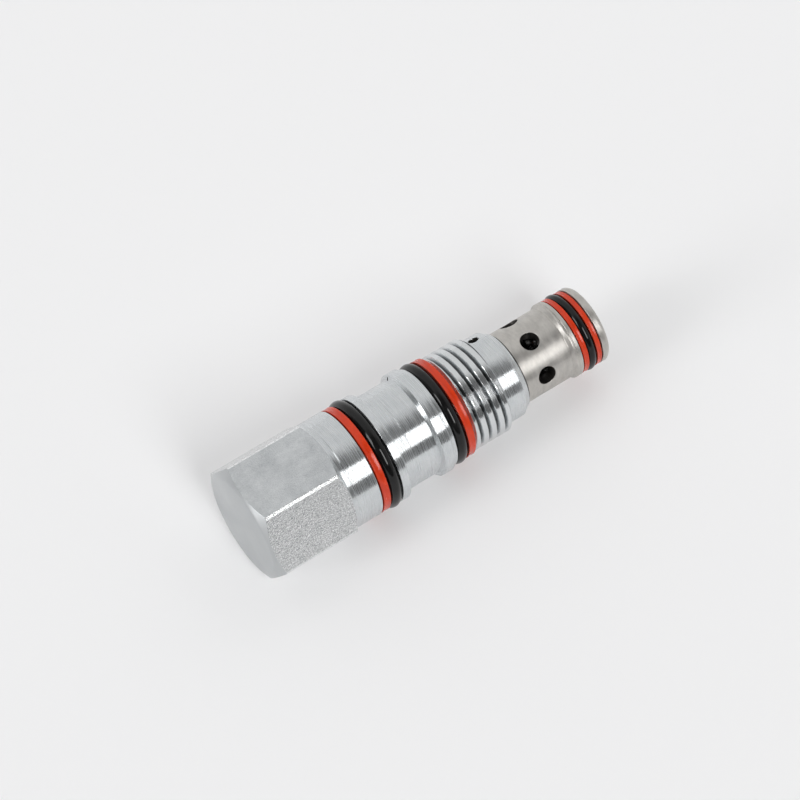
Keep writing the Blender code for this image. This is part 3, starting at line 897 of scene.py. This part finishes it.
def make_retainer(look):
    low, high, outer = node_mm("spring_retainer")
    disc = lathe("spring_retainer_visual", rounded([
        (low, RETAINER_CENTRE_R, 0.1), (high, RETAINER_CENTRE_R, 0.1),
        (high, outer, 0.12), (low, outer, 0.12),
    ]))
    radius, place_r = RETAINER_HOLE
    carve(disc, [axial_cutter(f"flow_{k}", (low - 1, high + 1), radius, place_r, 60 * k) for k in range(6)])
    stand_for(disc, "spring_retainer", look)


def make_check_spring(look):
    """A round-wire spring, attached to no body: it stays on its retainer and does not follow the poppet."""
    low, high, _ = node_mm("check_spring")
    start, end = low + SPRING_WIRE_R, high - SPRING_WIRE_R
    steps, sides = 40, 14
    count = round(SPRING_TURNS * steps)
    points = []
    for k in range(count + 1):
        turn = SPRING_TURNS * k / count
        along = min(max((turn - 0.5) / (SPRING_TURNS - 1.0), 0.0), 1.0)
        x = start + (end - start) * along
        points.append(Vector((x, SPRING_R * cos(2 * pi * turn), SPRING_R * sin(2 * pi * turn))))
    data = bmesh.new()
    rings = []
    for k, point in enumerate(points):
        ahead = points[min(k + 1, count)] - points[max(k - 1, 0)]
        out = Vector((0, point.y, point.z)).normalized()
        side = ahead.cross(out).normalized()
        rings.append(ring_loop(data, sides, lambda a: point + (out * cos(a) + side * sin(a)) * SPRING_WIRE_R))
    bridged(data, rings)
    spring = finish_mesh("check_spring_visual", data, sharp=50.0)
    spring.data.materials.append(look)
    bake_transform(spring)
    tag("check_spring")


# ---------------------------------------------------------------- setting

# The studio, by direction. X runs along the cartridge, and tilt is the angle from the zenith
# towards the camera's side. A patch is (brightness, X range, tilt or Y range, soft edge).
SKY = (0.74, (-0.68, 2.0), (-180, -4), (0.10, 16.0))
RIGHT_WALL = (0.50, (0.42, 2.0), (-12, 180), (0.12, 16.0))
DARK = 0.07
FRONT_SOFTBOX = (8.0, (-0.22, 0.12), (32.5, 64.0), (0.05, 1.0))
TABLE_GLOW = 0.20
LEFT_SOFTBOX = (6.0, (-2.0, -0.74), (-0.12, 0.20), (0.05, 0.03))


class World(NodeTree):
    """Nodes that add up the soft patches of the studio."""

    def __init__(self):
        world = bpy.data.worlds.new("studio")
        bpy.context.scene.world = world
        world.use_nodes = True
        self.tree = world.node_tree
        self.tree.nodes.clear()
        coords = self.node("ShaderNodeTexCoord").outputs["Generated"]
        split = self.node("ShaderNodeSeparateXYZ")
        self.link(coords, split.inputs["Vector"])
        self.x, self.y, self.z = split.outputs
        towards_camera = self.math("MULTIPLY", self.y, -1.0)
        self.tilt = self.math("MULTIPLY", self.math("ARCTAN2", towards_camera, self.z), degrees(1))

    def rise(self, value, at, soft):
        made = self.node("ShaderNodeMapRange", interpolation_type="SMOOTHSTEP")
        made.inputs["From Min"].default_value = at - soft
        made.inputs["From Max"].default_value = at + soft
        self.link(value, made.inputs["Value"])
        return made.outputs["Result"]

    def window(self, value, span, soft):
        low, high = (self.rise(value, edge, soft) for edge in span)
        return self.math("SUBTRACT", low, high)

    def patch(self, measure, settings):
        light, x_span, span, soft = settings
        along, across = self.window(self.x, x_span, soft[0]), self.window(measure, span, soft[1])
        return self.math("MULTIPLY", self.math("MULTIPLY", along, across), light)


def make_world():
    """A studio of soft patches, seen plain and pale by the camera itself."""
    world = World()
    light = world.math("ADD", world.patch(world.tilt, SKY), world.patch(world.tilt, RIGHT_WALL))
    light = world.math("ADD", light, world.patch(world.tilt, FRONT_SOFTBOX))
    light = world.math("ADD", light, world.patch(world.y, LEFT_SOFTBOX))
    light = world.math("ADD", light, DARK)
    glow = world.node("ShaderNodeBackground")
    world.link(light, glow.inputs["Color"])
    plain = world.node("ShaderNodeBackground")
    plain.inputs["Color"].default_value = (0.86, 0.86, 0.865, 1.0)
    seen = world.node("ShaderNodeLightPath")
    mix = world.node("ShaderNodeMixShader")
    world.link(seen.outputs["Is Camera Ray"], mix.inputs["Fac"])
    world.link(glow.outputs["Background"], mix.inputs[1])
    world.link(plain.outputs["Background"], mix.inputs[2])
    output = world.node("ShaderNodeOutputWorld")
    world.link(mix.outputs["Shader"], output.inputs["Surface"])


def make_floor():
    """A plain pale light table under the lowest point of the valve, so its shadows stay light."""
    data = bmesh.new()
    size = 1500.0
    level = CAD_BOX[0].z / MM
    corners = ((-size, -size), (size, -size), (size, size), (-size, size))
    data.faces.new([data.verts.new((x, y, level)) for x, y in corners])
    floor_piece = finish_mesh("floor", data)
    look = Look("pale_floor", (0.72, 0.72, 0.725), 0.75, Specular_IOR_Level=0.15)
    look.set("Emission Color", (1.0, 1.0, 1.0, 1.0))
    look.set("Emission Strength", TABLE_GLOW)
    floor_piece.data.materials.append(look.material)


def make_camera():
    data = bpy.data.cameras.new("camera")
    data.lens = CAMERA_LENS
    data.sensor_width = CAMERA_SENSOR
    data.clip_start, data.clip_end = 0.05, 20.0
    camera = bpy.data.objects.new("camera", data)
    bpy.context.scene.collection.objects.link(camera)
    back = Vector((
        -sin(CAMERA_AZIMUTH) * cos(CAMERA_ELEVATION),
        -cos(CAMERA_AZIMUTH) * cos(CAMERA_ELEVATION),
        sin(CAMERA_ELEVATION),
    ))
    camera.location = (Vector(CAMERA_AIM) + back * CAMERA_DISTANCE) * MM
    camera.rotation_euler = (-back).to_track_quat("-Z", "Y").to_euler()
    bpy.context.scene.camera = camera


def main():
    bpy.context.scene.view_settings.view_transform = "Standard"
    make_camera()
    make_world()
    make_floor()
    sleeve_steel = ground_steel("sleeve_steel", (0.56, 0.54, 0.51), 0.45, 0.02, grain=0.7)
    hard_steel = ground_steel("hard_steel", (0.17, 0.165, 0.16), 0.26, 0.006)
    spring_steel = ground_steel("spring_steel", (0.26, 0.25, 0.24), 0.30, 0.006, grain=0.0)
    bronze = ground_steel("bronze", (0.36, 0.25, 0.13), 0.36)
    make_valve_body()
    make_sleeve(sleeve_steel)
    make_seals(red_plastic(), black_rubber())
    make_split_rings(spring_steel)
    make_piston(hard_steel)
    make_simple_ring("piston_backup_ring", PISTON_GROOVE_ROOT_R + 0.05, white_ptfe())
    make_simple_ring("stem_guide", STEM_R + 0.05, bronze, 0.2)
    make_check_seat(hard_steel)
    make_poppet(hard_steel)
    make_retainer(hard_steel)
    make_check_spring(spring_steel)


main()
